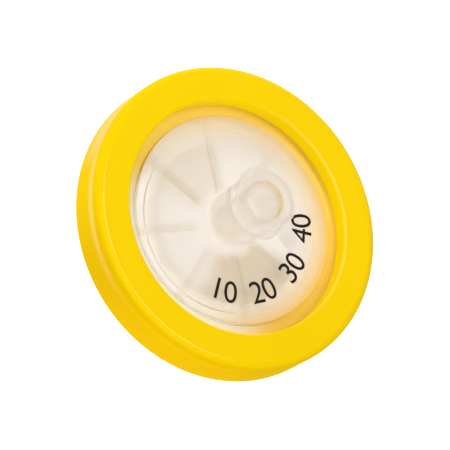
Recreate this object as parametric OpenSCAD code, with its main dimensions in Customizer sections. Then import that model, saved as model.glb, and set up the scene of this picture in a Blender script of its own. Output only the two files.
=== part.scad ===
// Syringe filter, 25 mm class: two clear half housings clamp a membrane disc between them, and a coloured
// ring moulded over their rims holds the stack shut. Liquid enters through a female Luer-lock socket and
// leaves through a male Luer slip tip.
//
// Frame: the origin is the centre of the inlet mouth. +Z is the flow axis and points out of the inlet,
// so the whole filter lies below z = 0. All sizes are in millimetres.

/* [Membrane and halves] */
// Diameter of the membrane disc
membrane_d = 25; // [18:0.5:34]
// Thickness of the membrane disc
membrane_t = 0.2; // [0.1:0.05:0.4]
// Width of the band at the membrane's edge that the two halves grip
clamp_w = 0.8; // [0.6:0.05:1.4]
// Width of the rim outside the membrane where the halves are welded
land_w = 1.98; // [1.7:0.02:3]
// Thickness of the inlet half's raised plate
inlet_plate_t = 1.5; // [1.3:0.05:2]
// Step from the plate's face down to the rim that the ring covers
rim_step = 0.7; // [0.5:0.05:1]
// Height of the distribution chamber over the membrane
chamber_h = 0.45; // [0.3:0.05:0.9]
// Depth of the drain channels under the membrane
drain_h = 0.4; // [0.2:0.05:0.8]
// Thickness of the outlet half's plate below its channels
outlet_plate_t = 1.05; // [0.8:0.05:1.8]
// Bevel on the outer corners of both halves, which the ring wraps
rim_bevel = 0.3; // [0.1:0.05:0.5]
// Width of the weld tongue under the inlet half's rim
tongue_w = 0.6; // [0.4:0.05:0.8]
// Height of the weld tongue
tongue_h = 0.35; // [0.2:0.05:0.5]

/* [Distribution and drain ribs] */
// Number of radial ribs in the inlet half, and of radial channels in the outlet half
spoke_count = 8; // [4:1:12]
// Width of a radial rib
rib_w = 0.8; // [0.3:0.05:1.2]
// Distance from the axis to a radial rib's inner end
rib_start = 3.4; // [2.5:0.1:5]
// Number of ring ridges between the radial ribs
ridge_count = 2; // [1:1:3]
// Distance from one ring ridge to the next
ridge_pitch = 0.95; // [0.8:0.05:1.4]
// Width of a ring ridge
ridge_w = 0.35; // [0.2:0.05:0.5]
// Gap between the ribs and the membrane
rib_gap = 0.1; // [0.05:0.01:0.15]
// Distance from one support ring under the membrane to the next
support_pitch = 1.5; // [1.2:0.05:2.5]
// Width of a support ring
support_w = 0.7; // [0.4:0.05:1]
// Width of a radial drain channel through the support rings
drain_w = 0.9; // [0.5:0.05:1.5]

/* [Overmoulded ring] */
// Wall of the ring outside the halves
ring_wall = 2.4; // [1.6:0.05:4]
// Thickness of the ring's lip over the inlet half's rim
inlet_lip_t = 1.8; // [1.4:0.05:2.5]
// Thickness of the ring's lip over the outlet half's face
outlet_lip_t = 0.8; // [0.6:0.05:1.6]
// Distance that the lips reach in over the halves
lip_w = 1.55; // [1.2:0.01:1.8]
// Width of the trough between the inlet half's raised plate and the ring
trough_w = 1.33; // [0.8:0.01:2]
// Radius of the ring's outer shoulders
shoulder_r = 0.95; // [0.4:0.05:1]
// Radius of the rounding along the edge of each window
window_round = 0.25; // [0.1:0.05:0.5]
// Length of the straight wall below the inlet side's shoulder
band_h = 0.25; // [0.1:0.05:0.5]
// Depth of the waist under that band
waist_depth = 0.45; // [0.2:0.05:0.8]
// Height over which the wall swells from the waist back to full radius
waist_run = 2.5; // [1.5:0.1:3]

/* [Inlet: female Luer lock] */
// Height of the mouth above the inlet half's face
hub_h = 6.9; // [6.5:0.1:10]
// Outer diameter of the hub's collar, which carries the lugs
hub_d = 6.6; // [6.3:0.05:6.7]
// Outer diameter of the hub's neck below the collar
neck_d = 6; // [5.6:0.05:6.2]
// Diameter of the socket's taper where the mouth's rounding begins
mouth_d = 4.27; // [4.2:0.01:4.4]
// Radius of the rounding at the mouth
mouth_round = 0.1; // [0.05:0.05:0.4]
// Thickness of the socket's floor over the chamber
floor_t = 0.5; // [0.4:0.05:1]
// Diameter of the hole through that floor
orifice_d = 2; // [1:0.1:3]
// Diameter across the two lugs
lug_d = 7.75; // [7.4:0.05:7.83]
// Distance from the mouth down to the lugs' crests
lug_drop = 0.6; // [0.4:0.05:1]
// Width of a lug at its crest
lug_crest_w = 1; // [0.5:0.05:1.2]
// Width of a lug at its root
lug_root_w = 1.4; // [1.2:0.05:1.8]
// Angle that each lug spans
lug_sweep = 163; // [100:1:170]
// Angle over which a lug's leading end rises from the hub
lug_lead_in = 22; // [15:1:60]
// Direction of the first lug's leading end, counted from +X
lug_turn = 199; // [0:1:359]
// Radius of the fillet at the hub's foot
hub_fillet = 0.5; // [0.2:0.1:1]

/* [Outlet: male Luer slip] */
// Outer diameter of the tip at its end
tip_d = 3.97; // [3.93:0.01:3.99]
// Length of the tapered tip
tip_length = 9; // [7.5:0.1:12]
// Diameter of the flow bore
bore_d = 1.9; // [1:0.1:2.8]
// Diameter of the boss at the tip's foot
boss_d = 6.4; // [5.5:0.1:9]
// Height of that boss
boss_h = 1.4; // [0.5:0.1:3]
// Radius of the fillet at the boss's foot
boss_fillet = 0.6; // [0.2:0.1:1]
// Diameter of the shallow funnel that gathers the drain channels
funnel_d = 4.4; // [3.2:0.1:5.5]

/* [Clearances] */
// Gap left between pieces that are pressed or moulded together
seat_gap = 0.02; // [0.01:0.01:0.05]
// Gap round the membrane's edge
membrane_play = 0.1; // [0.05:0.01:0.2]
// Gap round the weld tongue in its groove
tongue_play = 0.05; // [0.03:0.01:0.1]

/* [Hidden] */
$fn = 96;

// The standard Luer taper is 6 % on the diameter, so the radius grows 0.03 mm for each mm of length.
LUER_SLOPE = 0.03;
EDGE = 0.15;      // small break on the moulded edges
SINK = 0.2;       // overlap inside one moulded piece, where a feature grows out of it
ARC_STEPS = 8;    // segments in a quarter round of a profile

// Radii, from the axis outwards.
hub_r = hub_d / 2;
neck_r = neck_d / 2;
mouth_r = mouth_d / 2;
orifice_r = orifice_d / 2;
lug_r = lug_d / 2;
bore_r = bore_d / 2;
tip_r = tip_d / 2;
boss_r = boss_d / 2;
funnel_r = funnel_d / 2;
membrane_r = membrane_d / 2;
chamber_r = membrane_r - clamp_w;
pocket_r = membrane_r + membrane_play;
housing_r = pocket_r + land_w;
tongue_r = pocket_r + land_w / 2;
window_r = housing_r - lip_w;
plate_r = window_r - trough_w;
ring_in_r = housing_r + seat_gap;
ring_r = ring_in_r + ring_wall;

// Heights, from the mouth down.
collar_end_z = -lug_drop - lug_crest_w / 2 - lug_root_w / 2 - EDGE;
inlet_face_z = -hub_h;
rim_face_z = inlet_face_z - rim_step;
chamber_top_z = inlet_face_z - inlet_plate_t;
socket_floor_z = chamber_top_z + floor_t;
clamp_z = chamber_top_z - chamber_h;
membrane_top_z = clamp_z - seat_gap;
seat_z = membrane_top_z - membrane_t - seat_gap;
drain_z = seat_z - drain_h;
outlet_face_z = drain_z - outlet_plate_t;
boss_end_z = outlet_face_z - boss_h;
tip_end_z = boss_end_z - tip_length;
ring_top_z = rim_face_z + seat_gap + inlet_lip_t;
ring_bottom_z = outlet_face_z - seat_gap - outlet_lip_t;

// Points along an arc of radius r about c, from angle a to angle b.
function arc(c, r, a, b) = [
    for (i = [0:ARC_STEPS])
        let (t = a + (b - a) * i / ARC_STEPS)
        [c[0] + r * cos(t), c[1] + r * sin(t)]
];

// The wall from the waist outwards: a quarter of an ellipse, upright where it meets the full radius.
function waist_curve(top_z) = [
    for (i = [0:ARC_STEPS])
        let (t = 90 * i / ARC_STEPS)
        [ring_r - waist_depth * (1 - sin(t)), top_z - waist_run * (1 - cos(t))]
];

// A flat ring between two radii and two heights.
module annulus(inner_r, outer_r, low_z, high_z) {
    rotate_extrude()
        translate([inner_r, low_z])
            square([outer_r - inner_r, high_z - low_z]);
}

// Copies of a feature at equal angles round the axis.
module spokes() {
    for (i = [0:spoke_count - 1])
        rotate([0, 0, 360 * (i + 0.5) / spoke_count])
            children();
}

// The coloured ring: a lip over each half, full shoulders and a waist under the inlet side's band.
module overmould_ring() {
    shoulder_x = ring_r - shoulder_r;
    window_x = window_r + window_round;
    band_z = ring_top_z - shoulder_r - band_h;
    pocket_top_z = rim_face_z + seat_gap;
    pocket_low_z = outlet_face_z - seat_gap;
    color([0.98, 0.82, 0])
        rotate_extrude()
            polygon(concat(
                [[window_r, pocket_top_z]],
                arc([window_x, ring_top_z - window_round], window_round, 180, 90),
                arc([shoulder_x, ring_top_z - shoulder_r], shoulder_r, 90, 0),
                [[ring_r, band_z]],
                waist_curve(band_z - EDGE),
                arc([shoulder_x, ring_bottom_z + shoulder_r], shoulder_r, 0, -90),
                arc([window_x, ring_bottom_z + window_round], window_round, -90, -180),
                [
                    [window_r, pocket_low_z],
                    [ring_in_r - rim_bevel, pocket_low_z],
                    [ring_in_r, pocket_low_z + rim_bevel],
                    [ring_in_r, pocket_top_z - rim_bevel],
                    [ring_in_r - rim_bevel, pocket_top_z]
                ]
            ));
}

// One lug at right angles to the axis. Its crest runs round the hub from a square end to a leading end,
// which an off-centre cylinder cuts down to the hub, so that a locking collar rides up on it.
module lug(lead_turn) {
    mid_z = -lug_drop - lug_crest_w / 2;
    root_r = hub_r - SINK;
    shift = (lug_r - hub_r) / 2 / sin(lug_lead_in / 2);
    intersection() {
        rotate([0, 0, lead_turn - lug_sweep])
            rotate_extrude(angle = lug_sweep)
                polygon([
                    [root_r, mid_z - lug_root_w / 2],
                    [lug_r, mid_z - lug_crest_w / 2],
                    [lug_r, mid_z + lug_crest_w / 2],
                    [root_r, mid_z + lug_root_w / 2]
                ]);
        rotate([0, 0, lead_turn - lug_lead_in / 2 - 90])
            translate([shift, 0, mid_z - lug_root_w])
                cylinder(h = 2 * lug_root_w, r = (lug_r + hub_r) / 2);
    }
}

// Inlet half: raised plate, hub with its tapered socket, rim and weld tongue, as one turned profile.
module inlet_body() {
    socket_end_r = mouth_r + LUER_SLOPE * (socket_floor_z + mouth_round);
    rotate_extrude()
        polygon(concat(
            [
                [orifice_r, chamber_top_z],
                [orifice_r, socket_floor_z],
                [socket_end_r, socket_floor_z]
            ],
            arc([mouth_r + mouth_round, -mouth_round], mouth_round, 180, 90),
            arc([hub_r - EDGE, -EDGE], EDGE, 90, 0),
            [
                [hub_r, collar_end_z],
                [neck_r, collar_end_z + neck_r - hub_r]
            ],
            arc([neck_r + hub_fillet, inlet_face_z + hub_fillet], hub_fillet, 180, 270),
            arc([plate_r - EDGE, inlet_face_z - EDGE], EDGE, 90, 0),
            [
                [plate_r, rim_face_z],
                [housing_r - rim_bevel, rim_face_z],
                [housing_r, rim_face_z - rim_bevel],
                [housing_r, clamp_z],
                [tongue_r + tongue_w / 2, clamp_z],
                [tongue_r + tongue_w / 2, clamp_z - tongue_h],
                [tongue_r - tongue_w / 2, clamp_z - tongue_h],
                [tongue_r - tongue_w / 2, clamp_z],
                [chamber_r, clamp_z],
                [chamber_r, chamber_top_z]
            ]
        ));
}

// Ribs under the inlet plate, which spread the liquid and keep the plate off the membrane.
module distribution_ribs() {
    rib_low_z = clamp_z + rib_gap;
    rib_high_z = chamber_top_z + SINK;
    spokes()
        translate([rib_start, -rib_w / 2, rib_low_z])
            cube([chamber_r + SINK - rib_start, rib_w, rib_high_z - rib_low_z]);
    for (i = [1:ridge_count]) {
        outer_r = chamber_r - i * ridge_pitch + ridge_w / 2;
        annulus(outer_r - ridge_w, outer_r, rib_low_z, rib_high_z);
    }
}

module inlet_housing() {
    color([0.93, 0.91, 0.88])
        union() {
            inlet_body();
            distribution_ribs();
            lug(lug_turn);
            lug(lug_turn + 180);
        }
}

module membrane() {
    color([0.97, 0.97, 0.95])
        translate([0, 0, membrane_top_z - membrane_t])
            cylinder(h = membrane_t, r = membrane_r);
}

// Outlet half: plate, rim with the tongue's groove, boss and tapered tip, as one turned profile.
module outlet_body() {
    tip_root_r = tip_r + LUER_SLOPE * tip_length;
    land_z = clamp_z - seat_gap;
    groove_w = tongue_w + 2 * tongue_play;
    groove_z = clamp_z - tongue_h - tongue_play;
    rotate_extrude()
        polygon(concat(
            [
                [bore_r, tip_end_z],
                [bore_r, drain_z - funnel_r + bore_r],
                [funnel_r, drain_z],
                [chamber_r, drain_z],
                [chamber_r, seat_z],
                [pocket_r, seat_z],
                [pocket_r, land_z],
                [tongue_r - groove_w / 2, land_z],
                [tongue_r - groove_w / 2, groove_z],
                [tongue_r + groove_w / 2, groove_z],
                [tongue_r + groove_w / 2, land_z],
                [housing_r, land_z],
                [housing_r, outlet_face_z + rim_bevel],
                [housing_r - rim_bevel, outlet_face_z]
            ],
            arc([boss_r + boss_fillet, outlet_face_z - boss_fillet], boss_fillet, 90, 180),
            [
                [boss_r, boss_end_z + EDGE],
                [boss_r - EDGE, boss_end_z],
                [tip_root_r, boss_end_z],
                [tip_r, tip_end_z + EDGE],
                [tip_r - EDGE, tip_end_z]
            ]
        ));
}

// Rings that carry the membrane over the drain, broken by the radial channels that lead to the funnel.
module support_rings() {
    first_r = funnel_r + support_w / 2;
    count = floor((chamber_r - support_w - first_r) / support_pitch);
    difference() {
        for (i = [0:count])
            annulus(
                first_r + i * support_pitch - support_w / 2,
                first_r + i * support_pitch + support_w / 2,
                drain_z - SINK,
                seat_z
            );
        spokes()
            translate([0, -drain_w / 2, drain_z])
                cube([chamber_r, drain_w, drain_h + SINK]);
    }
}

module outlet_housing() {
    color([0.93, 0.91, 0.88])
        union() {
            outlet_body();
            support_rings();
        }
}

overmould_ring();
inlet_housing();
membrane();
outlet_housing();
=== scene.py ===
"""Looks of the syringe filter: yellow ring, clear halves, membrane, printed numbers and studio."""
import math
from types import SimpleNamespace

import bpy
from mathutils import Matrix, Vector

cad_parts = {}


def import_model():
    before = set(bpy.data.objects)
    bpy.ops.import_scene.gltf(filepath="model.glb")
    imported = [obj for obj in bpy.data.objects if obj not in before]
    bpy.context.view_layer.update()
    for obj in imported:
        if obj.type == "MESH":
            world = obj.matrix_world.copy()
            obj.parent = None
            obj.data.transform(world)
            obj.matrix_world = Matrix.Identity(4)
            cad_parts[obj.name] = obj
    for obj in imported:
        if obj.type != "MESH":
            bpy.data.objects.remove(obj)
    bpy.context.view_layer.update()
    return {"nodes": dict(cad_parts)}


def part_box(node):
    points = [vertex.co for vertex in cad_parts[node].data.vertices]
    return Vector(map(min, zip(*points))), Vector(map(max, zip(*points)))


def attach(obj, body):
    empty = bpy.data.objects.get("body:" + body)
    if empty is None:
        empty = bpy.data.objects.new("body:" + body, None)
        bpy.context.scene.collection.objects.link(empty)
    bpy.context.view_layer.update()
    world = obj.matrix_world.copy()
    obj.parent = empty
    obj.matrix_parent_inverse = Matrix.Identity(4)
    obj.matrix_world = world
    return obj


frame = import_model()

MM = 0.001
RING = frame["nodes"]["overmould_ring"]
INLET = frame["nodes"]["inlet_housing"]
MEMBRANE = frame["nodes"]["membrane"]
OUTLET = frame["nodes"]["outlet_housing"]
RING_LOW, RING_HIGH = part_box("overmould_ring")
OUTLET_LOW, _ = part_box("outlet_housing")
_, INLET_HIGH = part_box("inlet_housing")
PLATE_DROP = 1.12 * MM               # from the ring's inlet face down to the inlet half's plate
PLATE_Z = RING_HIGH.z - PLATE_DROP
PLATE_R = 11.7 * MM
OUTLET_RECESS = 0.82 * MM            # from the ring's outlet face up to the outlet half's plate
OUTLET_FACE_Z = RING_LOW.z + OUTLET_RECESS


def srgb(*channels):
    """Linear colour for display values from 0 to 255."""
    linear = []
    for c in channels:
        v = c / 255
        linear.append(v / 12.92 if v <= 0.04045 else ((v + 0.055) / 1.055) ** 2.4)
    return (*linear, 1.0)


# ---------------------------------------------------------------- node graphs
STEP = 0.1 * MM                      # half the width of a sharp step


class Graph:
    """The node tree of a material or a world, with short calls for the nodes used here."""

    def __init__(self, owner, shader="Principled BSDF"):
        owner.use_nodes = True
        self.owner = owner
        self.nodes = owner.node_tree.nodes
        self.links = owner.node_tree.links
        self.shader = self.nodes[shader]

    def put(self, value, socket):
        """Links a socket to an input, or sets the input to a plain value."""
        if isinstance(value, bpy.types.NodeSocket):
            self.links.new(value, socket)
        else:
            socket.default_value = value

    def set(self, **values):
        """Sets the shader's inputs, which are named with _ for each space."""
        for name, value in values.items():
            self.put(value, self.shader.inputs[name.replace("_", " ")])

    def math(self, operation, *values):
        n = self.nodes.new("ShaderNodeMath")
        n.operation = operation
        for value, socket in zip(values, n.inputs):
            self.put(value, socket)
        return n.outputs[0]

    def times(self, product, *factors):
        for factor in factors:
            product = self.math("MULTIPLY", product, factor)
        return product

    def larger(self, a, b):
        return self.math("MAXIMUM", a, b)

    def inverse(self, value):
        return self.math("SUBTRACT", 1.0, value)

    def blend(self, factor, a, b):
        """From a number a to a number b."""
        return self.math("MULTIPLY_ADD", factor, self.math("SUBTRACT", b, a), a)

    def mix(self, factor, a, b):
        """From a colour a to a colour b."""
        n = self.nodes.new("ShaderNodeMix")
        n.data_type = "RGBA"
        self.put(factor, n.inputs["Factor"])
        self.put(a, n.inputs["A"])
        self.put(b, n.inputs["B"])
        return n.outputs["Result"]

    def scaled(self, value, low, high):
        """From low, where the value is 0, to high, where it is 1."""
        n = self.nodes.new("ShaderNodeMapRange")
        self.put(value, n.inputs["Value"])
        n.inputs["To Min"].default_value = low
        n.inputs["To Max"].default_value = high
        return n.outputs["Result"]

    def smooth(self, value, start, full):
        """A smooth step from 0, where the value is start, to 1, where it is full."""
        n = self.nodes.new("ShaderNodeMapRange")
        n.interpolation_type = "SMOOTHSTEP"
        self.put(value, n.inputs["Value"])
        n.inputs["From Min"].default_value = start
        n.inputs["From Max"].default_value = full
        return n.outputs["Result"]

    def below(self, value, limit):
        """1 below a limit and 0 above it, with a narrow smooth step."""
        return self.inverse(self.smooth(value, limit - STEP, limit + STEP))

    def band(self, value, centre, half_width):
        """1 at the centre of a band, falling smoothly to 0 at its edges."""
        offset = self.math("ABSOLUTE", self.math("SUBTRACT", value, centre))
        return self.inverse(self.smooth(offset, 0.0, half_width))

    def place(self):
        """Object coordinates, which here are the row frame in metres."""
        return self.nodes.new("ShaderNodeTexCoord").outputs["Object"]

    def polar(self):
        """Distance from the flow axis, the cosine and sine of the azimuth, and the height."""
        n = self.nodes.new("ShaderNodeSeparateXYZ")
        self.links.new(self.place(), n.inputs[0])
        x, y, z = n.outputs
        radius = self.math("SQRT", self.math("ADD", self.times(x, x), self.times(y, y)))
        return radius, self.math("DIVIDE", x, radius), self.math("DIVIDE", y, radius), z

    def sector(self, cosine, sine, azimuth, start, full):
        """A smooth step from 0 to 1 in the cosine of the angle from an azimuth."""
        along = self.times(cosine, math.cos(azimuth))
        return self.smooth(self.math("MULTIPLY_ADD", sine, math.sin(azimuth), along), start, full)

    def spokes(self, radius, cosine, sine, count, solid, edge):
        """Strips that run outwards, the first one half a step off the x axis.

        They are 1 up to a distance solid from their middle line, and 0 beyond edge.
        """
        turn = 2 * math.pi / count
        turns = self.math("DIVIDE", self.math("ARCTAN2", sine, cosine), turn)
        off = self.math("ABSOLUTE", self.math("SUBTRACT", self.math("FRACT", turns), 0.5))
        return self.inverse(self.smooth(self.times(off, turn, radius), solid, edge))

    def noise(self, size, detail, roughness=0.5):
        """Noise from 0 to 1, with features about size across."""
        n = self.nodes.new("ShaderNodeTexNoise")
        self.links.new(self.place(), n.inputs["Vector"])
        n.inputs["Scale"].default_value = 1 / size
        n.inputs["Detail"].default_value = detail
        n.inputs["Roughness"].default_value = roughness
        return n.outputs["Fac"]

    def bump(self, height, depth):
        n = self.nodes.new("ShaderNodeBump")
        n.inputs["Strength"].default_value = 1.0
        n.inputs["Distance"].default_value = depth
        self.links.new(height, n.inputs["Height"])
        self.links.new(n.outputs["Normal"], self.shader.inputs["Normal"])

    def seen(self):
        """1 for what the camera, gloss and glass see, and 0 for the light that falls on things."""
        path = self.nodes.new("ShaderNodeLightPath")
        in_gloss = self.larger(path.outputs["Is Glossy Ray"], path.outputs["Is Transmission Ray"])
        return self.larger(path.outputs["Is Camera Ray"], in_gloss)


def material_graph(name):
    return Graph(bpy.data.materials.new(name))


def dress(piece, material):
    piece.data.materials.clear()
    piece.data.materials.append(material)


# Below, a RAMP is the two values between which a mask goes smoothly from 0 to 1, and a SECTOR is an
# azimuth with a ramp of the cosine of the angle from it. A BAND is the value in its middle and half
# its width. A MOTTLE, GRAIN or SKIN is a noise's feature size and detail, a GLOSS a specular level.
PLASTIC_IOR = 1.49

# ---------------------------------------------------------------- ring
RING_BRIGHT = srgb(253, 212, 1)
RING_DEEP = srgb(251, 209, 0)
RING_MOTTLE = 6 * MM, 3.0
RING_GRAIN = 1.5 * MM, 4.0
RING_ROUGHNESS = 0.06, 0.1
RING_GLOSS = 0.05
RING_SKIN = 0.35 * MM, 3.0
RING_SKIN_DEPTH = 0.003 * MM

WALL_RAMP = 16.4 * MM, 16.9 * MM             # radius, over the outer shoulder
WALL_ROUGHNESS = 0.8
WALL_PAINTED_SHADE = srgb(231, 186, 0)               # painted shade, deeper yellow on one side of the outer wall
WALL_PAINTED_SHADE_SECTOR = math.radians(300), 0.2, 0.85
# painted light: paler yellow down the window's wall, which lies in shade
WINDOW_WALL_PAINTED_LIGHT = srgb(255, 219, 2)
WINDOW_RAMP = 13.2 * MM, 13.0 * MM           # radius, over the window's edge

PEACH_HIGHLIGHT = srgb(255, 222, 130)                  # painted highlight and reflection, paler yellow on the ring
FLANGE_HIGHLIGHT_SHARE = 0.9
FLANGE_RAMP = 15.5 * MM, 16.0 * MM           # radius
FLANGE_BAND = 1.6 * MM, 0.9 * MM             # drop from the inlet face
FLANGE_SECTOR = math.radians(190), 0.0, 1.0
# painted highlight in a wider patch on one side of the outer wall
PATCH_TOP_RAMP = 0.95 * MM, 1.2 * MM         # drop
PATCH_FOOT_RAMP = 5.0 * MM, 2.5 * MM         # drop
PATCH_SECTOR = math.radians(196), 0.88, 0.99
# painted highlight in a thin streak along the window's edge
STREAK_HIGHLIGHT_SHARE = 0.35
STREAK_BAND = 13.2 * MM, 0.2 * MM            # radius
STREAK_RAMP = 0.3 * MM, 0.1 * MM             # drop
STREAK_SECTOR = math.radians(65), 0.3, 0.9


def ring_plastic():
    """Opaque yellow polypropylene with a fine moulded skin, and more matt on its outer wall.

    Painted highlights make it paler under the edge of its inlet flange, in a wider patch on one side
    and in a thin streak along the window's edge. Painted light makes it paler down the window's wall,
    and painted shade makes one side of the outer wall deeper.
    """
    g = material_graph("yellow_moulded")
    radius, cosine, sine, z = g.polar()
    drop = g.math("SUBTRACT", RING_HIGH.z, z)
    wall = g.smooth(radius, *WALL_RAMP)
    # painted highlights: a band under the flange's edge, a wider patch, and a streak by the window
    line = g.times(g.band(drop, *FLANGE_BAND), g.sector(cosine, sine, *FLANGE_SECTOR))
    patch = g.times(g.smooth(drop, *PATCH_TOP_RAMP), g.smooth(drop, *PATCH_FOOT_RAMP),
                    g.sector(cosine, sine, *PATCH_SECTOR))
    flange = g.times(g.larger(line, patch), g.smooth(radius, *FLANGE_RAMP))
    streak = g.times(g.band(radius, *STREAK_BAND), g.smooth(drop, *STREAK_RAMP),
                     g.sector(cosine, sine, *STREAK_SECTOR))

    colour = g.mix(g.noise(*RING_MOTTLE), RING_BRIGHT, RING_DEEP)
    # painted light down the window's wall
    colour = g.mix(g.smooth(radius, *WINDOW_RAMP), colour, WINDOW_WALL_PAINTED_LIGHT)
    # painted highlight along the window's edge
    colour = g.mix(g.times(streak, STREAK_HIGHLIGHT_SHARE), colour, PEACH_HIGHLIGHT)
    # painted shade on one side of the outer wall
    colour = g.mix(g.times(wall, g.sector(cosine, sine, *WALL_PAINTED_SHADE_SECTOR)), colour, WALL_PAINTED_SHADE)
    # painted highlights under the flange's edge
    colour = g.mix(g.times(flange, FLANGE_HIGHLIGHT_SHARE), colour, PEACH_HIGHLIGHT)
    grain = g.scaled(g.noise(*RING_GRAIN), *RING_ROUGHNESS)
    rough = g.math("MULTIPLY_ADD", wall, WALL_ROUGHNESS, grain)
    g.set(Base_Color=colour, Roughness=rough, IOR=PLASTIC_IOR, Specular_IOR_Level=RING_GLOSS)
    g.bump(g.noise(*RING_SKIN), RING_SKIN_DEPTH)
    return g.owner


# ---------------------------------------------------------------- clear halves
INLET_SPOKES = 8
INLET_HAZE = 0.3
INLET_BORE_R = 2.25 * MM                     # just outside the socket's wall
OUTLET_HAZE = 0.15
OUTLET_BORE_R = 1.2 * MM                     # just outside the tip's bore
CORE_R = 3.1 * MM                            # the part of the plates that the spigots cover

CLEAR_MOTTLE = 3 * MM, 3.0
CLEAR_GRAIN = 0.8 * MM, 3.0
CLEAR_ROUGHNESS = 0.18, 0.28
BORE_ROUGHNESS = 0.4
CLEAR_GLOSS = 0.08
CLEAR_SKIN = 0.6 * MM, 2.0
CLEAR_SKIN_DEPTH = 0.002 * MM

HAZE_DARK = srgb(251, 238, 220)
HAZE_PALE = srgb(255, 246, 232)
SPIGOT = srgb(233, 221, 206)
# painted shade over the spokes and painted shadow in the darker sectors
SPOKE_AND_SHADOW_TINT = srgb(214, 194, 160)
# painted light: the yellow ring's light in the clear plastic, as amber near the rim
AMBER_RING_LIGHT = srgb(251, 205, 108)
# painted light: the ring's light as amber in the trough
TROUGH_RING_LIGHT = srgb(255, 218, 88)
# painted shade on one side of the trough
TROUGH_PAINTED_SHADE = srgb(243, 200, 84)
CREAM = srgb(255, 246, 216)                  # the trough on the side away from the amber
MOUTH_LIGHT_AND_SHADE = srgb(222, 195, 140)                  # painted ring light and shade on the wall of the mouth

SPIGOT_RAMP = -0.05 * MM, -0.6 * MM          # depth under the half's outer face
INNER_RAMP = 0.85 * MM, 0.95 * MM            # depth
TROUGH_FLOOR_RAMP = 0.55 * MM, 0.65 * MM     # depth
TROUGH_RAMP = PLATE_R - STEP, PLATE_R        # radius
TROUGH_SECTOR = math.radians(100), -0.85, -0.3
TROUGH_PAINTED_SHADE_RAMP = 0.2, 0.9                 # cosine of the azimuth
# where the ring's light is painted as amber: strongest on one side, least on the far side
AMBER_RAMP = 7.0 * MM, 13.0 * MM             # radius
AMBER_AZIMUTH = math.radians(70)
AMBER_SECTOR = AMBER_AZIMUTH, -1.05, 0.2
AMBER_LEAST = 0.32                           # how much of the amber is left on its far side
STRONG_SECTOR = math.radians(45), 0.3, 0.9
STRONG_GAIN = 1.25
DARK_RINGS = (9.8 * MM, 0.25 * MM), (10.8 * MM, 0.25 * MM)
DARK_RING_SHARE = 0.82
BELOW_MOUTH_RAMP = 0.5 * MM, 1.6 * MM        # drop from the mouth
MOUTH_SECTOR = AMBER_AZIMUTH, -0.6, 0.6
MOUTH_LEAST = 0.4
SPOKE_EDGE_RAMP = 0.2 * MM, 0.65 * MM        # distance from the spoke's middle line
SPOKE_FOOT_RAMP = 3.0 * MM, 4.5 * MM         # radius
# painted shadow on the inner skin, in a darker sector and a fainter one
PAINTED_SHADOW_R = 9.0 * MM
PAINTED_SHADOW_SECTOR = math.radians(-14), 0.6, 0.92
FAINT_SHADOW_SECTOR = math.radians(186), 0.75, 0.97
FAINT_SHADOW_SHARE = 0.4                            # of the darker sector, in the fainter one

INNER_HAZE = 0.02
SPOKE_RISE = 0.3
PAINTED_SHADOW_RISE = 1.0
AMBER_RISE = 0.6
TROUGH_HAZE = 1.0
CREAM_HAZE = 0.75
CREAM_WALL_HAZE = 0.375
SPIGOT_HAZE = 0.4
BORE_HAZE = 0.3
MOUTH_RISE = 0.32
OUTLINE_RISE = 0.3
OUTLINE_POWER = 3.0
SHADOW_SHARE = 0.15                          # of the haze that a shadow or diffuse ray meets


def clear_masks(g, face_z, inwards, bore_r):
    """Where the features of a clear half are, each from 0 to 1, and the places they are found by.

    Depth counts from the half's outer face, and is positive inside the filter. The spigot is the hub
    or the tip, the inner skins are those inside the filter, and the trough is the step round the
    plate.
    """
    radius, cosine, sine, z = g.polar()
    depth = g.times(g.math("SUBTRACT", z, face_z), inwards)
    inner = g.smooth(depth, *INNER_RAMP)
    bore = g.below(radius, bore_r)
    spigot = g.larger(g.smooth(depth, *SPIGOT_RAMP), g.times(bore, g.inverse(inner)))
    side = g.scaled(g.sector(cosine, sine, *AMBER_SECTOR), AMBER_LEAST, 1.0)
    strong = g.scaled(g.sector(cosine, sine, *STRONG_SECTOR), 1.0, STRONG_GAIN)
    rings = g.larger(*(g.band(radius, *ring) for ring in DARK_RINGS))
    amber = g.times(g.smooth(radius, *AMBER_RAMP), g.times(side, strong),
                    g.scaled(rings, 1.0, DARK_RING_SHARE))
    below_mouth = g.smooth(g.math("SUBTRACT", INLET_HIGH.z, z), *BELOW_MOUTH_RAMP)
    mouth = g.times(g.inverse(below_mouth), bore,
                    g.scaled(g.sector(cosine, sine, *MOUTH_SECTOR), MOUTH_LEAST, 1.0))
    return SimpleNamespace(
        radius=radius, cosine=cosine, sine=sine, depth=depth, inner=inner, bore=bore, spigot=spigot,
        amber=amber, mouth=mouth, core=g.below(radius, CORE_R), trough=g.smooth(radius, *TROUGH_RAMP),
        trough_amber=g.sector(cosine, sine, *TROUGH_SECTOR))


def clear_colour(g, at):
    """Milky white, with painted ring light as amber at the rim, in the trough and mouth, and painted
    shade.
    """
    colour = g.mix(g.noise(*CLEAR_MOTTLE), HAZE_DARK, HAZE_PALE)
    # painted ring light as amber towards the rim
    colour = g.mix(at.amber, colour, AMBER_RING_LIGHT)
    # the trough's painted ring light, with painted shade on one side
    trough = g.mix(g.smooth(at.cosine, *TROUGH_PAINTED_SHADE_RAMP), TROUGH_RING_LIGHT, TROUGH_PAINTED_SHADE)
    colour = g.mix(at.trough, colour, g.mix(at.trough_amber, CREAM, trough))
    colour = g.mix(at.spigot, colour, SPIGOT)
    # painted ring light and shade on the mouth's wall, stronger on the amber side
    colour = g.mix(at.mouth, colour, MOUTH_LIGHT_AND_SHADE)
    # the inner skin takes the colour of the spokes' painted shade and the painted shadow
    return g.mix(at.inner, colour, g.mix(at.core, SPOKE_AND_SHADOW_TINT, HAZE_DARK))


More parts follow.
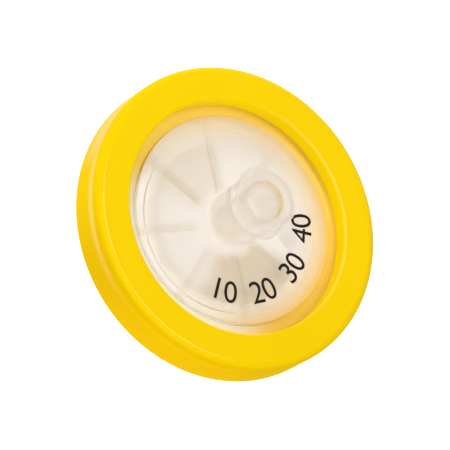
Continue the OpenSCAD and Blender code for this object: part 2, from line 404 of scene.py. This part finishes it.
def inner_marks(g, at, spokes):
    """More haze over the spokes, partly real and partly painted shade, and in two painted shadow
    sectors.
    """
    shade = g.math("MULTIPLY_ADD", g.sector(at.cosine, at.sine, *FAINT_SHADOW_SECTOR), FAINT_SHADOW_SHARE,
                   g.sector(at.cosine, at.sine, *PAINTED_SHADOW_SECTOR))
    shade = g.times(shade, g.below(at.radius, PAINTED_SHADOW_R))
    lines = g.spokes(at.radius, at.cosine, at.sine, spokes, *SPOKE_EDGE_RAMP)
    return g.math("ADD", g.times(lines, SPOKE_RISE), g.times(shade, PAINTED_SHADOW_RISE))


def clear_haze(g, at, plate_haze, spokes):
    """How milky the skin is: thick in the trough, thinner in the spigot, nearly clear inside.

    A spigot's wall is milkier where it is seen edge on.
    """
    haze = g.math("MULTIPLY_ADD", at.amber, AMBER_RISE, plate_haze)
    cream = g.scaled(g.smooth(at.depth, *TROUGH_FLOOR_RAMP), CREAM_WALL_HAZE, CREAM_HAZE)
    haze = g.blend(at.trough, haze, g.blend(at.trough_amber, cream, TROUGH_HAZE))
    facing = g.nodes.new("ShaderNodeLayerWeight").outputs["Facing"]
    outline = g.times(g.math("POWER", facing, OUTLINE_POWER), OUTLINE_RISE)
    haze = g.blend(at.spigot, haze, g.math("ADD", outline, g.scaled(at.bore, SPIGOT_HAZE, BORE_HAZE)))
    haze = g.math("MULTIPLY_ADD", at.mouth, MOUTH_RISE, haze)
    inside = INNER_HAZE
    if spokes:
        within = g.times(g.below(at.radius, PLATE_R), g.smooth(at.radius, *SPOKE_FOOT_RAMP))
        inside = g.math("MULTIPLY_ADD", inner_marks(g, at, spokes), within, INNER_HAZE)
    return g.blend(at.inner, haze, g.blend(at.core, inside, plate_haze))


def clear_plastic(name, face_z, inwards, spokes, plate_haze, bore_r):
    """Natural polypropylene, see-through with a milky haze in its outer skin.

    The haze scatters light onwards, so it hardly shades what lies under it.
    """
    g = material_graph(name)
    at = clear_masks(g, face_z, inwards, bore_r)
    grain = g.scaled(g.noise(*CLEAR_GRAIN), *CLEAR_ROUGHNESS)
    rough = g.math("MULTIPLY_ADD", at.bore, BORE_ROUGHNESS, grain)
    path = g.nodes.new("ShaderNodeLightPath")
    light = g.larger(path.outputs["Is Shadow Ray"], path.outputs["Is Diffuse Ray"])
    haze = g.math("MINIMUM", clear_haze(g, at, plate_haze, spokes), 1.0)
    haze = g.times(haze, g.scaled(light, 1.0, SHADOW_SHARE))
    g.set(Base_Color=clear_colour(g, at), Roughness=rough, Alpha=haze)
    g.set(IOR=PLASTIC_IOR, Specular_IOR_Level=CLEAR_GLOSS)
    g.bump(g.noise(*CLEAR_SKIN), CLEAR_SKIN_DEPTH)
    return g.owner


# ---------------------------------------------------------------- membrane
FILM_DARK = srgb(249, 242, 234)
FILM_PALE = srgb(254, 249, 243)
FILM_FIBRES = 0.12 * MM, 6.0, 0.7            # size, detail and roughness
FILM_FIBRE_DEPTH = 0.01 * MM
FILM_ROUGHNESS = 0.9
MATT_GLOSS = 0.1                             # of the film and the ink
CLAMP_RAMP = 7.5 * MM, 10.5 * MM             # radius
CLAMP_SIDE_RAMP = -0.2, -0.7                 # sine of the azimuth
CLAMPED_ALPHA = 0.15


def membrane_film():
    """Matt white porous film, clearer on one side, where its edge is clamped into the plastic."""
    g = material_graph("white_film")
    fibres = g.noise(*FILM_FIBRES)
    radius, _, sine, _ = g.polar()
    clear = g.times(g.smooth(radius, *CLAMP_RAMP), g.smooth(sine, *CLAMP_SIDE_RAMP))
    g.set(Base_Color=g.mix(fibres, FILM_DARK, FILM_PALE), Alpha=g.scaled(clear, 1.0, CLAMPED_ALPHA))
    g.set(Roughness=FILM_ROUGHNESS, Specular_IOR_Level=MATT_GLOSS)
    g.bump(fibres, FILM_FIBRE_DEPTH)
    return g.owner


# ---------------------------------------------------------------- printed numbers
INK_DARK = srgb(18, 11, 7)
INK_PALE = srgb(36, 25, 18)
INK_MOTTLE = 0.3 * MM, 4.0
INK_ROUGHNESS = 0.6
INK_SKIN = 0.08 * MM, 2.0
INK_SKIN_DEPTH = 0.003 * MM

PRINT_TEXT = "10 20 30 40"
PRINT_R = 8.25 * MM                          # middle of the numbers
PRINT_HEIGHT = 2.45 * MM
PRINT_START = math.radians(-50)
PRINT_END = math.radians(62)
PRINT_LIFT = 0.004 * MM
PRINT_DEPTH = 0.012 * MM
PRINT_RESOLUTION = 6                         # points in each curve of an outline


def print_ink():
    """Pad-printed black ink, slightly uneven."""
    g = material_graph("black_ink")
    g.set(Base_Color=g.mix(g.noise(*INK_MOTTLE), INK_DARK, INK_PALE))
    g.set(Roughness=INK_ROUGHNESS, Specular_IOR_Level=MATT_GLOSS)
    g.bump(g.noise(*INK_SKIN), INK_SKIN_DEPTH)
    return g.owner


def glyph_mesh(character, size):
    """A closed, thin mesh of one character, centred across on x = 0, with its foot on y = 0."""
    curve = bpy.data.curves.new("glyph", "FONT")
    curve.body = character
    curve.size = size
    curve.align_x = "CENTER"
    curve.extrude = PRINT_DEPTH / 2
    curve.resolution_u = PRINT_RESOLUTION
    piece = bpy.data.objects.new("glyph", curve)
    bpy.context.scene.collection.objects.link(piece)
    mesh = bpy.data.meshes.new_from_object(
        piece.evaluated_get(bpy.context.evaluated_depsgraph_get()))
    bpy.data.objects.remove(piece)
    return mesh


def printed_numbers():
    """Numbers along an arc on the inlet half's plate, heads towards the hub, counter-clockwise."""
    sample = glyph_mesh("0", 1.0)
    cap = max(v.co.y for v in sample.vertices) - min(v.co.y for v in sample.vertices)
    size = PRINT_HEIGHT / cap
    height = Vector((0, 0, PLATE_Z + PRINT_LIFT + PRINT_DEPTH / 2))
    steps = len(PRINT_TEXT) - 1
    parts = []
    for i, character in enumerate(PRINT_TEXT):
        if character == " ":
            continue
        azimuth = PRINT_START + (PRINT_END - PRINT_START) * i / steps
        turn = Matrix.Rotation(azimuth + math.pi / 2, 4, "Z")
        out = Vector((math.cos(azimuth), math.sin(azimuth), 0)) * (PRINT_R + PRINT_HEIGHT / 2)
        mesh = glyph_mesh(character, size)
        mesh.transform(Matrix.Translation(out + height) @ turn)
        part = bpy.data.objects.new("glyph", mesh)
        bpy.context.scene.collection.objects.link(part)
        parts.append(part)
    bpy.ops.object.select_all(action="DESELECT")
    for part in parts:
        part.select_set(True)
    bpy.context.view_layer.objects.active = parts[0]
    bpy.ops.object.join()
    piece = bpy.context.view_layer.objects.active
    piece.name = "printed_numbers"
    dress(piece, print_ink())
    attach(piece, "root")


# ---------------------------------------------------------------- camera
# The camera stands on the inlet side, off the flow axis, and is rolled so that the hub points up and
# right. It looks past the middle of the ring's inlet face, as the photograph is framed.
VIEW_ELEVATION = math.radians(56.41)
VIEW_ROLL = math.radians(59.0)
VIEW_DISTANCE = 401.8 * MM
VIEW_LENS = 301.4
VIEW_SENSOR = 36.0
VIEW_CLIP = 0.01, 10.0
AIM_RIGHT = -1.507 * MM
AIM_UP = -0.951 * MM


def camera():
    """The photograph's view."""
    back = Vector((0, -math.cos(VIEW_ELEVATION), math.sin(VIEW_ELEVATION)))
    level_right = Vector((1, 0, 0))
    level_up = back.cross(level_right)
    right = level_right * math.cos(VIEW_ROLL) + level_up * math.sin(VIEW_ROLL)
    up = back.cross(right)
    data = bpy.data.cameras.new("camera")
    data.lens = VIEW_LENS
    data.sensor_width = VIEW_SENSOR
    data.clip_start, data.clip_end = VIEW_CLIP
    cam = bpy.data.objects.new("camera", data)
    bpy.context.scene.collection.objects.link(cam)
    centre = Vector((0, 0, RING_HIGH.z))
    place = centre + right * AIM_RIGHT + up * AIM_UP + back * VIEW_DISTANCE
    turn = Matrix((right, up, back)).transposed().to_4x4()
    cam.matrix_world = Matrix.Translation(place) @ turn
    bpy.context.scene.camera = cam


# ---------------------------------------------------------------- studio
WHITE = (1, 1, 1, 1)
WORLD_LIGHT = 0.45
FLOOR_DROP = 90 * MM
FLOOR_SIZE = 4.0
FLOOR_COLOUR = srgb(248, 248, 248)
FLOOR_ROUGHNESS = 0.9
FLOOR_GLOW = 0.58


def lamp(name, direction, distance, width, height, power, mirrored=False):
    """A rectangular soft light that faces the middle of the ring, and shows in gloss only if asked."""
    data = bpy.data.lights.new(name, "AREA")
    data.shape = "RECTANGLE"
    data.size = width
    data.size_y = height
    data.energy = power
    obj = bpy.data.objects.new(name, data)
    bpy.context.scene.collection.objects.link(obj)
    obj.visible_glossy = mirrored
    centre = (RING_LOW + RING_HIGH) / 2
    towards = Vector(direction).normalized()
    obj.location = centre + towards * distance
    obj.rotation_euler = towards.to_track_quat("Z", "Y").to_euler()


def world():
    """Even surroundings: full white to the camera, in gloss and in glass, and softer as light."""
    studio = bpy.data.worlds.new("studio")
    bpy.context.scene.world = studio
    g = Graph(studio, "Background")
    g.set(Color=WHITE, Strength=g.scaled(g.seen(), WORLD_LIGHT, 1.0))


def floor():
    """A pale floor well below the outlet, white but for the soft shadow on it, clear from below."""
    half = FLOOR_SIZE / 2
    z = OUTLET_LOW.z - FLOOR_DROP
    corners = [(-half, -half, z), (half, -half, z), (half, half, z), (-half, half, z)]
    mesh = bpy.data.meshes.new("floor")
    mesh.from_pydata(corners, [], [(0, 1, 2, 3)])
    obj = bpy.data.objects.new("floor", mesh)
    bpy.context.scene.collection.objects.link(obj)
    g = material_graph("pale_floor")
    g.set(Base_Color=FLOOR_COLOUR, Roughness=FLOOR_ROUGHNESS, Specular_IOR_Level=0.0)
    g.set(Emission_Color=WHITE, Emission_Strength=g.times(g.seen(), FLOOR_GLOW))
    from_below = g.nodes.new("ShaderNodeNewGeometry").outputs["Backfacing"]
    sides = g.nodes.new("ShaderNodeMixShader")
    g.links.new(from_below, sides.inputs[0])
    g.links.new(g.shader.outputs[0], sides.inputs[1])
    g.links.new(g.nodes.new("ShaderNodeBsdfTransparent").outputs[0], sides.inputs[2])
    g.links.new(sides.outputs[0], g.nodes["Material Output"].inputs["Surface"])
    dress(obj, g.owner)


bpy.context.scene.view_settings.view_transform = "Standard"
camera()
world()
floor()
lamp("strip", (0.0, 0.35, 0.93), distance=0.35, width=0.22, height=0.035, power=0.38, mirrored=True)
lamp("key", (-1.0, 0.1, 0.4), distance=0.35, width=0.12, height=0.12, power=0.56)
lamp("fill", (0.48, -0.83, 0.22), distance=0.5, width=0.3, height=0.3, power=1.4)

dress(RING, ring_plastic())
dress(INLET, clear_plastic("clear_inlet", PLATE_Z, -1.0, INLET_SPOKES, INLET_HAZE, INLET_BORE_R))
dress(OUTLET, clear_plastic("clear_outlet", OUTLET_FACE_Z, 1.0, 0, OUTLET_HAZE, OUTLET_BORE_R))
dress(MEMBRANE, membrane_film())
printed_numbers()
